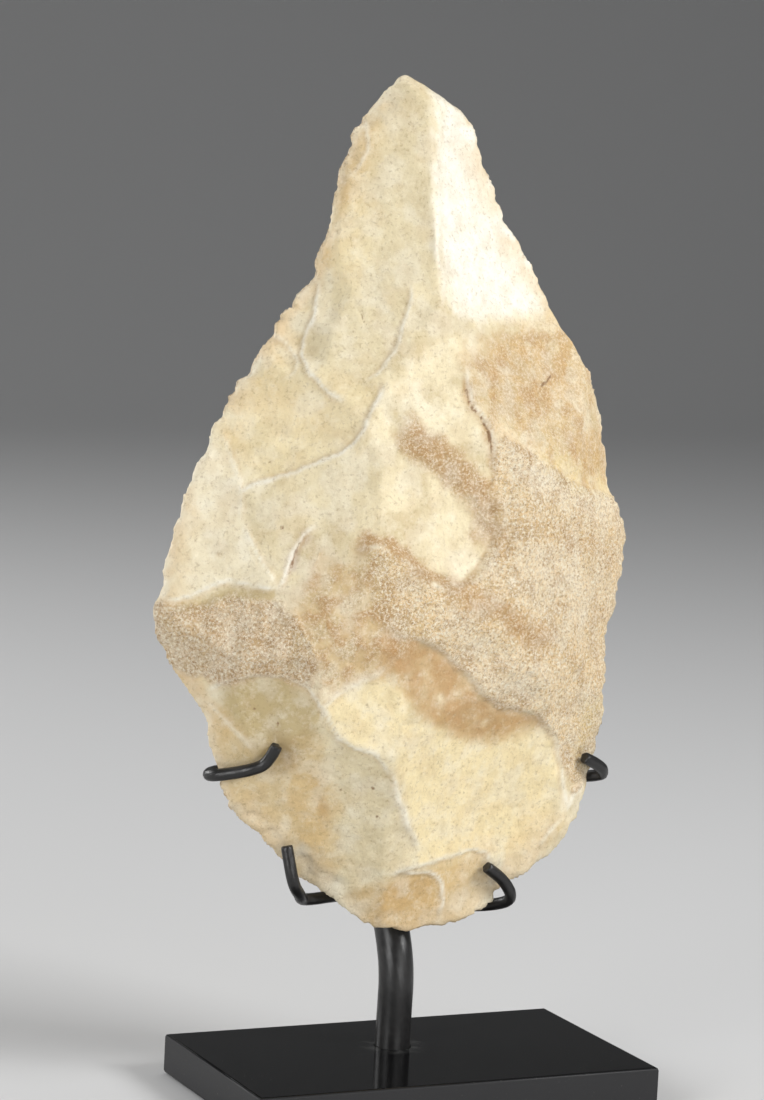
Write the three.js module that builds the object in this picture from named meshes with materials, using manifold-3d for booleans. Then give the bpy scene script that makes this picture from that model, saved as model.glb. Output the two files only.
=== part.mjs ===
// A knapped stone hand axe on its black display stand, in millimetres, +Z up.
// The origin is the middle of the base plate's underside, X runs along the plate, and the
// axe's front face looks towards -Y.
import * as THREE from "three";
import { mergeVertices } from "three/addons/utils/BufferGeometryUtils.js";
import Module from "manifold-3d";

const wasm = await Module();
wasm.setup();

// Base plate
const BASE_WIDTH = 86;
const BASE_DEPTH = 48.5;
const BASE_HEIGHT = 8;
const BASE_EDGE_BREAK = 0.6;

// Post: a round bar that stands in a blind socket of the plate and passes up behind the axe
const POST_DIAMETER = 7;
const POST_X = -2;
const POST_Y = 4.5;
const SOCKET_DEPTH = 5;
const POST_STRAIGHT = 16;
const POST_REACH = 84;
const POST_SIDES = 16;
const POST_STEPS = 26;

// Wires that hook round the stone's edge, brazed to the post's sides
const WIRE_DIAMETER = 2.4;
const WIRE_SIDES = 10;
const WIRE_STEPS = 24;

// Air between two pieces that touch in the real object, and room for a wire over rough stone
const TOUCH_GAP = 0.3;
const ROUGH_ROOM = 0.8;

// Stone: its length, the crown of either face over the edge plane, its lean and its place
const AXE_LENGTH = 168.5;
const FRONT_CROWN = 19.5;
const BACK_CROWN = 15.5;
const AXE_LEAN = THREE.MathUtils.degToRad(5);
const AXE_X = -4;
const BUTT_HEIGHT = 24.6;

// The outline, scars and wires are drawn on a stone of these sizes and follow the ones above.
const drawn = { length: 168.5, front: 19.5, back: 15.5 };
const stretch = AXE_LENGTH / drawn.length;

// Where the edge turns, left and right of the long axis: [height over the butt, distance]
const LEFT_EDGE = [
  [0, 0], [0.8, 6], [5.6, 13.8], [10, 20.2], [13.2, 25.1], [20.5, 32.2], [26, 36.5], [31, 39],
  [37, 41.2], [42, 41.8], [46, 44], [49, 46.8], [52, 50], [54.5, 53.2], [57.5, 53.8], [65, 52.8],
  [75, 50.6], [86, 47.2], [93, 44.2], [99, 41.6], [101.5, 39], [108.8, 36.6], [113.5, 32], [119, 28],
  [124, 24.4], [127.5, 21], [131, 20], [139, 17.6], [148, 15.2], [154, 13.2], [160, 10.2],
  [163.5, 7.4], [166.5, 4.4], [168.5, 1.5],
];
const RIGHT_EDGE = [
  [0, 0], [0.8, 10], [2, 14.5], [4, 20.6], [9.5, 27], [13, 31.6], [15.6, 35.2], [22.5, 41],
  [27.5, 43.2], [34, 45.4], [44, 45.2], [56.6, 45.2], [60, 45.6], [66, 47.4], [71, 48.8], [77, 49.4],
  [84.6, 47.8], [88.5, 45.5], [95, 44.9], [104, 43], [111, 41], [117, 37.2], [122, 32.9],
  [127, 29.9], [132, 28], [136, 24.8], [141, 21], [144.5, 19.8], [149, 17.6], [152.5, 15.7],
  [158, 14.4], [161.5, 11.8], [164.5, 7.6], [167, 3], [168.5, -1.5],
];

// How full the stone is along its length: [height over the butt, share of the crown]
const FULLNESS = [
  [0, 0.14], [3, 0.3], [8, 0.52], [20, 0.83], [40, 0.98], [62, 1], [84, 0.98], [110, 0.88],
  [135, 0.72], [155, 0.5], [165, 0.24], [168.5, 0.06],
];
const CROSS_POWER = 2.6;
const CROSS_STEPS = 8;

// Flake scars. Each is a shallow bowl through three points of its rim, which are given as
// [sideways, height over the butt, height over the edge plane], and its hollow is the depth of
// the bowl under the plane of those points.
const FRONT_SCARS = [
  { name: "left of the tip", rim: [[-13.2, 155, 0.5], [1.7, 138, 10], [-14, 108, 12.5]], hollow: 1.5 },
  { name: "right of the tip", rim: [[2.9, 155, 6], [0.7, 123, 13.5], [27.8, 131, 0.5]], hollow: 0.8 },
  { name: "neck", rim: [[-5.2, 124, 13], [-15.2, 102, 15], [5, 111, 15]], hollow: 0.5 },
  { name: "large left", rim: [[-37, 87.6, 5.5], [-16, 99, 15], [-31.7, 111, 3.5]], hollow: 1.2 },
  { name: "left strip", rim: [[-24.5, 124, 1], [-31.5, 112, 1], [-25, 114, 7.5]], hollow: 0.6 },
  { name: "white", rim: [[-42.7, 97, 1.5], [-32.5, 70, 11.5], [-52.5, 68, 2]], hollow: 1 },
  { name: "middle left", rim: [[-36.4, 86, 7], [-14, 96, 16.5], [-28.7, 60, 14]], hollow: 0.7 },
  { name: "left rind", rim: [[-50.7, 64, 1.5], [-30.8, 66, 12], [-40, 51, 8.5]], hollow: 0.4 },
  { name: "left hollow", rim: [[-42, 49.6, 5.5], [-24.7, 48.5, 14], [-33.4, 38.5, 7]], hollow: 1.6 },
  { name: "left corner", rim: [[-43, 48, 1], [-33.4, 37, 7], [-38.7, 33, 0.5]], hollow: 0.4 },
  { name: "lower left", rim: [[-33.4, 37, 7], [-22.2, 41, 13], [-26.7, 17, 1.5]], hollow: 0.6 },
  { name: "diagonal", rim: [[-24.5, 46.5, 14], [-10.8, 54.3, 18], [-10.8, 36, 14.5]], hollow: 0.8 },
  { name: "under the rind", rim: [[-6.9, 57.5, 18.5], [11.8, 45.5, 15], [-7.7, 44, 16]], hollow: 0.8 },
  { name: "lower middle", rim: [[-21, 41, 13], [-10, 36, 14.5], [-5, 14, 6]], hollow: 1.2 },
  { name: "lower right", rim: [[-7.7, 35, 14], [29.2, 38, 8], [1.6, 15, 5]], hollow: 1.6 },
  { name: "right edge", rim: [[29, 40, 8.5], [44.5, 44, 1], [34.6, 27, 3]], hollow: 0.5 },
  { name: "butt", rim: [[-2.2, 12.5, 4.5], [17, 14, 4], [7.8, 1, 0.5]], hollow: 0.4 },
  { name: "tongue", rim: [[-9, 99, 16.8], [10, 83, 16.2], [-5.6, 74, 18]], hollow: 1.2 },
  { name: "thumb hollow", rim: [[10.6, 81, 15.8], [1.1, 69, 17.6], [-6.4, 77, 18.2]], hollow: 1.2 },
];
const BACK_SCARS = [
  { name: "tip, left", rim: [[-12.5, 157, 0.5], [2, 146, 6.5], [-5, 116, 11.5]], hollow: 1.2 },
  { name: "tip, right", rim: [[12.5, 159, 0.5], [2, 148, 6.2], [3, 118, 11.5]], hollow: 0.8 },
  { name: "shoulder, left", rim: [[-33, 111, 1.5], [-6, 114, 11.8], [-14, 88, 13]], hollow: 1.3 },
  { name: "shoulder, right", rim: [[39, 112, 1.5], [8, 116, 11], [18, 86, 12.5]], hollow: 1.2 },
  { name: "middle, left", rim: [[-47, 86, 1], [-15, 87, 12.6], [-22, 58, 12.4]], hollow: 1.2 },
  { name: "middle, right", rim: [[48, 79, 1.5], [16, 82, 13], [22, 52, 12.8]], hollow: 1 },
  { name: "corner, left", rim: [[-52, 59, 1.5], [-22, 57, 12.4], [-30, 36, 8]], hollow: 0.9 },
  { name: "corner, right", rim: [[45, 45, 1.5], [20, 53, 12.8], [22, 24, 9]], hollow: 1.1 },
  { name: "butt, left", rim: [[-34, 23, 1], [-24, 42, 11], [-8, 12, 7.5]], hollow: 1.2 },
  { name: "butt, right", rim: [[31, 13, 1], [12, 28, 12.5], [7, 6, 5]], hollow: 0.8 },
];

// Small scars struck off along the edge, as runs on either face:
// [side, first height, last height]
const FRONT_RETOUCH = [[-1, 100, 127], [-1, 150, 161], [1, 9, 36]];
const BACK_RETOUCH = [[-1, 60, 160], [1, 90, 160]];
const RETOUCH_STEP = 7.5;
const RETOUCH_REACH = 3.6;
const RETOUCH_RISE = 2;
const RETOUCH_LIP = 0.45;
const RETOUCH_HOLLOW = 0.45;

// A cutting bowl: the rings of its paraboloid, in shares of its rim's radius, and its height
const BOWL_RINGS = [0.5, 0.9, 1.3, 2, 3.2];
const BOWL_SIDES = 14;
const SMALL_BOWL_RINGS = [0.8, 1.6];
const SMALL_BOWL_SIDES = 8;
const BOWL_HEIGHT = 40;

function alongTable(table, at) {
  const scaled = at / stretch;
  const next = Math.max(1, table.findIndex(([station]) => station >= scaled));
  const [from, a] = table[next - 1];
  const [to, b] = table[next];
  return a + (b - a) * THREE.MathUtils.clamp((scaled - from) / (to - from), 0, 1);
}

function leftEdge(height) {
  return -stretch * alongTable(LEFT_EDGE, height);
}

function rightEdge(height) {
  return stretch * alongTable(RIGHT_EDGE, height);
}

// The unknapped stone's height over its edge plane, where face is -1 in front and 1 behind
function blankHeight(face, across, height) {
  const left = leftEdge(height);
  const right = rightEdge(height);
  const share = THREE.MathUtils.clamp((2 * across - left - right) / (right - left), -1, 1);
  const crown = face < 0 ? FRONT_CROWN : BACK_CROWN;
  return crown * alongTable(FULLNESS, height) * (1 - Math.abs(share) ** CROSS_POWER);
}

// The bowl through a scar's rim: its middle, its radius, and its slopes and lowest level
function bowlOf(face, scar) {
  const rise = face < 0 ? FRONT_CROWN / drawn.front : BACK_CROWN / drawn.back;
  const [a, b, c] = scar.rim.map(([u, v, h]) => new THREE.Vector3(u * stretch, v * stretch, h * rise));
  const ab = new THREE.Vector3().subVectors(b, a);
  const ac = new THREE.Vector3().subVectors(c, a);
  const normal = new THREE.Vector3().crossVectors(ab, ac);
  const abSquare = ab.x ** 2 + ab.y ** 2;
  const acSquare = ac.x ** 2 + ac.y ** 2;
  const x = (ac.y * abSquare - ab.y * acSquare) / (2 * normal.z);
  const y = (ab.x * acSquare - ac.x * abSquare) / (2 * normal.z);
  const slopeX = -normal.x / normal.z;
  const slopeY = -normal.y / normal.z;
  return {
    x: a.x + x,
    y: a.y + y,
    radius: Math.hypot(x, y),
    slopeX,
    slopeY,
    hollow: scar.hollow * rise,
    bottom: a.z + slopeX * x + slopeY * y - scar.hollow * rise,
  };
}

// The knapped stone's height over its edge plane at a place, before the edge's small scars
function stoneHeight(face, across, height) {
  const scars = face < 0 ? FRONT_SCARS : BACK_SCARS;
  const levels = scars.map((scar) => {
    const bowl = bowlOf(face, scar);
    const x = across - bowl.x;
    const y = height - bowl.y;
    const ring = (x * x + y * y) / bowl.radius ** 2;
    return bowl.bottom + bowl.slopeX * x + bowl.slopeY * y + bowl.hollow * ring;
  });
  return Math.min(blankHeight(face, across, height), ...levels);
}

function manifoldOf(geometry) {
  const bare = geometry.clone();
  bare.deleteAttribute("normal");
  bare.deleteAttribute("uv");
  const merged = mergeVertices(bare, 1e-4);
  return new wasm.Manifold(new wasm.Mesh({
    numProp: 3,
    vertProperties: new Float32Array(merged.getAttribute("position").array),
    triVerts: new Uint32Array(merged.index.array),
  }));
}

function geometryOf(solid) {
  const mesh = solid.getMesh();
  const geometry = new THREE.BufferGeometry();
  geometry.setAttribute("position", new THREE.BufferAttribute(mesh.vertProperties, 3));
  geometry.setIndex(new THREE.BufferAttribute(mesh.triVerts, 1));
  geometry.computeVertexNormals();
  return geometry;
}

// A closed skin over rings of equally many points, with a single point at either end
function skinOver(bottom, rings, top) {
  const points = [bottom, ...rings.flat(), top];
  const count = rings[0].length;
  const at = (ring, i) => 1 + ring * count + (i % count);
  const faces = [];
  for (let i = 0; i < count; i++) {
    faces.push(0, at(0, i + 1), at(0, i));
    for (let ring = 1; ring < rings.length; ring++) {
      faces.push(at(ring - 1, i), at(ring - 1, i + 1), at(ring, i + 1));
      faces.push(at(ring - 1, i), at(ring, i + 1), at(ring, i));
    }
    faces.push(at(rings.length - 1, i), at(rings.length - 1, i + 1), points.length - 1);
  }
  const geometry = new THREE.BufferGeometry().setFromPoints(points);
  geometry.setIndex(faces);
  return geometry;
}

// The rough lens of stone before knapping: one ring of points at each turn of the outline
function blankGeometry() {
  const turns = [...LEFT_EDGE, ...RIGHT_EDGE].map(([station]) => station);
  const stations = [...new Set(turns)].sort((a, b) => a - b).slice(1, -1);
  const rings = stations.map((station) => {
    const height = station * stretch;
    const left = leftEdge(height);
    const right = rightEdge(height);
    const ring = [];
    for (let i = 0; i < 2 * CROSS_STEPS; i++) {
      const face = i <= CROSS_STEPS ? -1 : 1;
      const share = (1 - Math.cos((Math.PI * i) / CROSS_STEPS)) / 2;
      const across = left + share * (right - left);
      ring.push(new THREE.Vector3(across, face * blankHeight(face, across, height), height));
    }
    return ring;
  });
  const butt = new THREE.Vector3(0, 0, 0);
  const tip = new THREE.Vector3(leftEdge(AXE_LENGTH), 0, AXE_LENGTH);
  return skinOver(butt, rings, tip);
}

function bowlCutter(face, scar, ringShares, sides) {
  const bowl = bowlOf(face, scar);
  const brim = Math.sqrt(BOWL_HEIGHT / bowl.hollow);
  const rings = [0, ...ringShares, brim];
  const profile = rings.map((ring) => new THREE.Vector2(ring, ring * ring));
  profile.push(new THREE.Vector2(0, brim * brim));
  const place = new THREE.Matrix4().set(
    bowl.radius, 0, 0, bowl.x,
    face * bowl.slopeX * bowl.radius, face * bowl.hollow, bowl.slopeY * bowl.radius, face * bowl.bottom,
    0, 0, face * bowl.radius, bowl.y,
    0, 0, 0, 1,
  );
  return manifoldOf(new THREE.LatheGeometry(profile, sides).applyMatrix4(place));
}

// Small scars along a run of the edge, each a little wider, longer or more aslant than the last
function retouchScars([side, first, last]) {
  const edge = (height) => (side < 0 ? leftEdge(height * stretch) : rightEdge(height * stretch)) / stretch;
  const scars = [];
  for (let at = first, i = 0; at < last; i++) {
    const width = RETOUCH_STEP * (1 + 0.35 * Math.sin(2.4 * i + side));
    const reach = RETOUCH_REACH * (1 + 0.3 * Math.sin(1.7 * i + 2 * side));
    const skew = 0.25 * width * Math.sin(3.1 * i);
    const middle = at + width / 2;
    scars.push({
      rim: [
        [edge(at), at, RETOUCH_LIP],
        [edge(at + width), at + width, RETOUCH_LIP],
        [edge(middle) - side * reach, middle + skew, RETOUCH_RISE],
      ],
      hollow: RETOUCH_HOLLOW,
    });
    at += width;
  }
  return scars;
}

function stoneGeometry() {
  let stone = manifoldOf(blankGeometry());
  for (const [face, scars, retouch] of [[-1, FRONT_SCARS, FRONT_RETOUCH], [1, BACK_SCARS, BACK_RETOUCH]]) {
    for (const scar of scars) {
      stone = stone.subtract(bowlCutter(face, scar, BOWL_RINGS, BOWL_SIDES));
    }
    for (const scar of retouch.flatMap(retouchScars)) {
      stone = stone.subtract(bowlCutter(face, scar, SMALL_BOWL_RINGS, SMALL_BOWL_SIDES));
    }
  }
  return geometryOf(stone);
}

// A round bar along a smooth path through points
function barGeometry(points, diameter, sides, steps) {
  const section = new THREE.Shape().absarc(0, 0, diameter / 2, 0, 2 * Math.PI);
  const path = new THREE.CatmullRomCurve3(points, false, "centripetal");
  return new THREE.ExtrudeGeometry(section, { extrudePath: path, steps, curveSegments: sides / 2 });
}

// The plate, a bevelled block with the post's socket sunk in its top
function baseGeometry() {
  const half = new THREE.Vector2(BASE_WIDTH / 2 - BASE_EDGE_BREAK, BASE_DEPTH / 2 - BASE_EDGE_BREAK);
  const outline = new THREE.Shape()
    .moveTo(-half.x, -half.y)
    .lineTo(half.x, -half.y)
    .lineTo(half.x, half.y)
    .lineTo(-half.x, half.y);
  const plate = new THREE.ExtrudeGeometry(outline, {
    depth: BASE_HEIGHT - 2 * BASE_EDGE_BREAK,
    bevelThickness: BASE_EDGE_BREAK,
    bevelSize: BASE_EDGE_BREAK,
    bevelSegments: 2,
  });
  plate.translate(0, 0, BASE_EDGE_BREAK);
  const socketRadius = POST_DIAMETER / 2 + TOUCH_GAP;
  const socket = new THREE.CylinderGeometry(socketRadius, socketRadius, 2 * SOCKET_DEPTH, 2 * POST_SIDES);
  socket.rotateX(Math.PI / 2);
  socket.translate(POST_X, POST_Y, BASE_HEIGHT);
  return geometryOf(manifoldOf(plate).subtract(manifoldOf(socket)));
}

// From the stone's own frame, whose edge plane stands on the butt, to the stand's
const stoneFrame = new THREE.Matrix4()
  .makeTranslation(AXE_X, 0, BASE_HEIGHT + BUTT_HEIGHT)
  .multiply(new THREE.Matrix4().makeRotationX(-AXE_LEAN));
const standFrame = stoneFrame.clone().invert();

// A place over the stone's face, in the stone's frame, for a bar of the given radius
function overFace(face, across, height, radius, room) {
  const [u, v] = [across * stretch, height * stretch];
  const level = Math.max(stoneHeight(face, u, v), 0) + radius + TOUCH_GAP + room;
  return new THREE.Vector3(u, face * level, v);
}

const postRadius = POST_DIAMETER / 2;
const wireRadius = WIRE_DIAMETER / 2;

// The post's upper stretch lies along the stone's back: [height over the butt, room to it]
const POST_BESIDE = [[3, 0.8], [10, 1.2], [20, 1.4], [34, 1.4], [50, 1], [66, 0.6], [POST_REACH, 0.2]];
const postAcross = (POST_X - AXE_X) / stretch;
const postBack = POST_BESIDE.map(([height, room]) => overFace(1, postAcross, height, postRadius, room));

function postPoints() {
  const foot = BASE_HEIGHT - SOCKET_DEPTH + TOUCH_GAP;
  const straight = BASE_HEIGHT + POST_STRAIGHT;
  return [
    new THREE.Vector3(POST_X, POST_Y, foot),
    new THREE.Vector3(POST_X, POST_Y, (foot + straight) / 2),
    new THREE.Vector3(POST_X, POST_Y, straight),
    ...postBack.map((point) => point.clone().applyMatrix4(stoneFrame)),
  ];
}

// Each wire: its side of the stone, the post's height where it is brazed, its way behind the
// stone as [across, height, room], where it rounds the edge, and its end on the front face.
const WIRES = [
  {
    name: "wire_upper_left", side: -1, brazed: 33,
    behind: [[-14, 32.6, 0.8], [-30, 32.4, 1.4], [-38, 32.4, 1.8]],
    rounds: [[32.2, 0.3, 0.4]], front: [[-38, 32.8], [-35, 33.8], [-32.9, 34.6], [-31.4, 38.6]],
  },
  {
    name: "wire_upper_right", side: 1, brazed: 30,
    behind: [[16, 29.2, 0.8], [34, 28.8, 1.2], [41, 28.9, 1]],
    rounds: [[29.8, 0.2, 0.4]], front: [[43, 31.8], [39, 33.6]],
  },
  {
    name: "wire_lower_left", side: -1, brazed: 7.5,
    behind: [[-7, 6.8, 2.2], [-14, 6.6, 2.6]],
    rounds: [[6.8, 2.6, -3], [8.2, 2.6, 0], [11, 1.1, 3]], front: [[-25.6, 18.2]],
  },
  {
    name: "wire_lower_right", side: 1, brazed: 6.5,
    behind: [[12, 4.4, 2.2]],
    rounds: [[3.6, 0.4, -3.6], [5.6, 0, 1.6]], front: [[22, 9], [17.4, 12.4]],
  },
];

function wirePoints({ side, brazed, behind, rounds, front }) {
  const beside = side * (postRadius + wireRadius + TOUCH_GAP);
  const post = new THREE.CatmullRomCurve3(postPoints(), false, "centripetal");
  const level = new THREE.Vector3(0, 0, brazed * stretch).applyMatrix4(stoneFrame).z;
  const onPost = post.getPoints(10 * POST_STEPS).find((point) => point.z >= level);
  const start = onPost.clone().applyMatrix4(standFrame).add(new THREE.Vector3(beside, 0, 0));
  const points = [start];
  for (const [across, height, room] of behind) {
    points.push(overFace(1, across, height, wireRadius, room));
  }
  for (const [height, out, forward] of rounds) {
    const edge = side < 0 ? leftEdge(height * stretch) : rightEdge(height * stretch);
    const clear = side * (wireRadius + TOUCH_GAP + out);
    points.push(new THREE.Vector3(edge + clear, -forward, height * stretch));
  }
  for (const [across, height] of front) {
    points.push(overFace(-1, across, height, wireRadius, ROUGH_ROOM));
  }
  return points;
}

const stoneMaterial = new THREE.MeshStandardMaterial({ color: 0xd9cba6, roughness: 0.55 });
const blackMetal = new THREE.MeshStandardMaterial({ color: 0x17181a, roughness: 0.35, metalness: 0.4 });

function named(name, geometry, material) {
  const mesh = new THREE.Mesh(geometry, material);
  mesh.name = name;
  return mesh;
}

const stoneGroup = new THREE.Group();
stoneGroup.rotation.x = -AXE_LEAN;
stoneGroup.position.set(AXE_X, 0, BASE_HEIGHT + BUTT_HEIGHT);
stoneGroup.add(named("hand_axe", stoneGeometry(), stoneMaterial));
for (const wire of WIRES) {
  const bar = barGeometry(wirePoints(wire), WIRE_DIAMETER, WIRE_SIDES, WIRE_STEPS);
  stoneGroup.add(named(wire.name, bar, blackMetal));
}

const handAxeOnStand = new THREE.Group();
const postBar = barGeometry(postPoints(), POST_DIAMETER, POST_SIDES, POST_STEPS);
handAxeOnStand.add(named("base", baseGeometry(), blackMetal));
handAxeOnStand.add(named("post", postBar, blackMetal));
handAxeOnStand.add(stoneGroup);
export default handAxeOnStand;
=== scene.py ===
import math

import bmesh
import bpy
import numpy as np
from mathutils import Matrix, Vector, kdtree, noise


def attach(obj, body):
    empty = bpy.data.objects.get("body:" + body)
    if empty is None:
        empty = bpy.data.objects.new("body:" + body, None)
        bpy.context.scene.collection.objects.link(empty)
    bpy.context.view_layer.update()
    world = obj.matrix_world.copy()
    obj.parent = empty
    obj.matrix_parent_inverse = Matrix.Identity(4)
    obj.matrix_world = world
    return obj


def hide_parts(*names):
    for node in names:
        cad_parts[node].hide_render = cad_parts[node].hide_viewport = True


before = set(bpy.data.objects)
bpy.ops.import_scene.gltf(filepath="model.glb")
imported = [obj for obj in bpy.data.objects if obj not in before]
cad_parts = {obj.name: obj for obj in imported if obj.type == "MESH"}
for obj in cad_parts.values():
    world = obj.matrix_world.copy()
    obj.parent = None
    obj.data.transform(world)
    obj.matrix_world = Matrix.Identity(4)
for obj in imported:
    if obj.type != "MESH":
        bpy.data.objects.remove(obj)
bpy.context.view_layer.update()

# The view.
# The camera stands at eye height to the left of the axe's front and looks slightly down, with
# its long side upright.
MM = 0.001
VIEW_FROM = Vector((-303.9, -612.5, 189.8)) * MM
VIEW_TURN = math.radians(-25.48)
VIEW_DOWN = math.radians(6.82)
VIEW_ROLL = math.radians(2.92)
VIEW_LENS = 115.0

camera_data = bpy.data.cameras.new("camera")
camera_data.lens = VIEW_LENS
camera_data.sensor_width = 36.0
camera = bpy.data.objects.new("camera", camera_data)
camera.matrix_world = (
    Matrix.Translation(VIEW_FROM)
    @ Matrix.Rotation(VIEW_TURN, 4, "Z")
    @ Matrix.Rotation(math.pi / 2 - VIEW_DOWN, 4, "X")
    @ Matrix.Rotation(VIEW_ROLL, 4, "Z")
)
bpy.context.collection.objects.link(camera)
bpy.context.scene.camera = camera


# The hand axe.
# One piece of pale flint, flaked on both faces by hard and soft hammer. The smooth scars are
# cream to white, and a rough sandy rind of the old nodule is left on the right and the left corner.
AXE_LEAN = math.radians(5.0)
AXE_BUTT = Vector((-4.0, 0.0, 32.6))
AXE_CELL = 0.62
JOINED_WITHIN = 0.002
FRONT_SHARPNESS = 2.5
SEEN_SHIFT = 0.48
SEEN_LEVELS = (-4, 30)
LINE_WARP = 0.45
LINE_FADE = 4.0


def merged_copy(node, name):
    """A mesh object with a CAD node's shape, its loose triangles joined."""
    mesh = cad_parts[node].data.copy()
    mesh.name = name
    mesh.materials.clear()
    form = bmesh.new()
    form.from_mesh(mesh)
    bmesh.ops.remove_doubles(form, verts=form.verts, dist=JOINED_WITHIN * MM)
    form.to_mesh(mesh)
    form.free()
    piece = bpy.data.objects.new(name, mesh)
    bpy.context.collection.objects.link(piece)
    return piece


def applied(piece):
    """The piece with its modifiers made part of its mesh."""
    graph = bpy.context.evaluated_depsgraph_get()
    mesh = bpy.data.meshes.new_from_object(piece.evaluated_get(graph))
    piece.modifiers.clear()
    piece.data = mesh
    mesh.name = piece.name
    return piece


def smooth_faces(piece):
    piece.data.polygons.foreach_set("use_smooth", [True] * len(piece.data.polygons))


def linear(red, green, blue):
    """A colour as it is seen, 0 to 255, as the linear values that a shader takes."""
    seen = np.array([red, green, blue]) / 255
    return tuple(np.where(seen <= 0.04045, seen / 12.92, ((seen + 0.055) / 1.055) ** 2.4))


axe = merged_copy("hand_axe", "axe_stone")
remesh = axe.modifiers.new("fine_skin", "REMESH")
remesh.mode = "VOXEL"
remesh.voxel_size = AXE_CELL * MM
applied(axe)

count = len(axe.data.vertices)
places = np.empty(3 * count)
axe.data.vertices.foreach_get("co", places)
places = places.reshape(-1, 3) / MM
normals = np.empty(3 * count)
axe.data.vertex_normals.foreach_get("vector", normals)
normals = normals.reshape(-1, 3)

# The stone's own directions: across, along its length, and forward out of its front face.
LENGTHWISE = np.array([0.0, math.sin(AXE_LEAN), math.cos(AXE_LEAN)])
FORWARD = np.array([0.0, -math.cos(AXE_LEAN), math.sin(AXE_LEAN)])
from_butt = places - np.array(AXE_BUTT)
across = from_butt[:, 0]
height = from_butt @ LENGTHWISE
level = from_butt @ FORWARD
facing = normals @ FORWARD
in_front = np.clip(0.5 + FRONT_SHARPNESS * facing, 0, 1)


def wavy(size, seed, detail):
    """Noise of about -1 to 1 at every point of the stone, with lumps of a size in millimetres."""
    shift = Vector((17.3 * seed, -9.1 * seed, 5.7 * seed))
    return np.array([
        noise.fractal(Vector(place) / size + shift, 1.0, 2.0, detail, noise_basis="PERLIN_ORIGINAL")
        for place in from_butt
    ])


def eased(value):
    value = np.clip(value, 0, 1)
    return value * value * (3 - 2 * value)


def bell(off, width):
    """1 on a line, falling off smoothly beside it over a width."""
    return np.exp(-(off / width) ** 2)


def lumps(layers):
    """Layers of noise added up. Each has a height and a size in millimetres, a seed and a detail."""
    return sum(rise * wavy(size, seed, detail) for rise, size, seed, detail in layers)


def clouds(cover, contrast, size, seed, detail):
    """Soft clouds of 0 to 1. More of the stone lies under them the higher their cover is."""
    return eased(cover + contrast * wavy(size, seed, detail))


# Where each point lies in the outlines and lines below: across and up from the butt, as seen
# from a little to the left, and warped a little so that no line runs quite smoothly.
ragged = wavy(3.0, 1, 3)
seen_across = across + SEEN_SHIFT * np.clip(level, *SEEN_LEVELS)
drawn = np.stack([seen_across, height], axis=1)
drawn += LINE_WARP * np.stack([wavy(5.0, 11, 3), wavy(5.0, 12, 3)], axis=1)


def rounded_path(path):
    """A drawn line with its corners cut twice, so that it runs in soft curves."""
    points = [np.array(point, float) for point in path]
    for _ in range(2):
        cut = [points[0]]
        for start, end in zip(points[:-1], points[1:]):
            cut += [0.75 * start + 0.25 * end, 0.25 * start + 0.75 * end]
        points = cut + [points[-1]]
    return points


def beside(path):
    """How far each point of the stone is from a drawn line, its side, and a fade at the ends."""
    nearest = np.full(count, np.inf)
    side = np.zeros(count)
    along = np.zeros(count)
    run = 0.0
    points = rounded_path(path)
    for start, end in zip(points[:-1], points[1:]):
        step = end - start
        length = math.hypot(*step)
        reach = drawn - start
        share = np.clip(reach @ step / length ** 2, 0, 1)
        off = np.hypot(*(reach - share[:, None] * step).T)
        closer = off < nearest
        side[closer] = np.sign(step[0] * reach[:, 1] - step[1] * reach[:, 0])[closer]
        along[closer] = (run + share * length)[closer]
        nearest[closer] = off[closer]
        run += length
    return nearest, side, eased(np.minimum(along, run - along) / LINE_FADE)


def inside(outline):
    """Whether each point of the stone is inside an outline drawn on its front face."""
    within = np.zeros(count, bool)
    for (x0, y0), (x1, y1) in zip(outline, outline[1:] + outline[:1]):
        between = (y0 > drawn[:, 1]) != (y1 > drawn[:, 1])
        if y0 != y1:
            within ^= between & (drawn[:, 0] < x0 + (drawn[:, 1] - y0) * (x1 - x0) / (y1 - y0))
    return within


def patch(outline, soft, ragged_by):
    """A share of 1 inside a closed outline that fades out over its soft, slightly ragged rim."""
    off, _, _ = beside(outline + outline[:1])
    off = off * np.where(inside(outline), -1, 1)
    return eased(0.5 - (off + ragged_by * ragged) / (2 * soft)) * in_front


def streak(path, width, soft, ragged_by):
    """A share of 1 along a drawn line of a width, with soft, slightly ragged sides."""
    off, _, ends = beside(path)
    return eased(0.5 - (off - width / 2 + ragged_by * ragged) / (2 * soft)) * ends * in_front


# Outlines of the rough and stained ground, in millimetres across and up from the butt.
RIGHT_RIND = [
    (20, 99), (29, 94), (38, 88.5), (46, 86), (58, 84), (56, 40), (38, 26), (36, 31), (33, 38.7),
    (29.8, 43.3), (19.7, 45.3), (15, 50.4), (9.5, 55.8), (6.4, 58.2), (0, 59.4), (-6, 63), (-7, 70),
    (-8, 76), (-5.3, 78.2), (0, 75), (5, 70), (10, 68.5), (15, 70.5), (18, 75), (20, 81), (18.5, 87),
    (18.3, 93),
]
STAINED = [
    (13, 112), (14, 104), (19, 99), (30, 93), (40, 88), (54, 84), (52, 104), (42, 118), (32, 122),
    (22, 119),
]
MIDDLE_GROUND = [
    (-22, 67), (-18, 76), (-11, 72), (-9, 78), (-3, 72), (-2, 64), (3, 60), (2, 56), (-6, 53),
    (-17, 47), (-23, 54),
]
LEFT_RIND = [
    (-56, 66), (-46, 65), (-38, 67), (-30, 67), (-26, 66), (-21, 62), (-18, 56), (-19, 50),
    (-25, 51.5), (-31, 52), (-38, 50), (-48, 53), (-60, 58),
]
RIND_RIM = 0.9
STAIN_RIM = 3.0
front_rinds = [patch(outline, RIND_RIM, RIND_RIM) for outline in (RIGHT_RIND, LEFT_RIND)]
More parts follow.
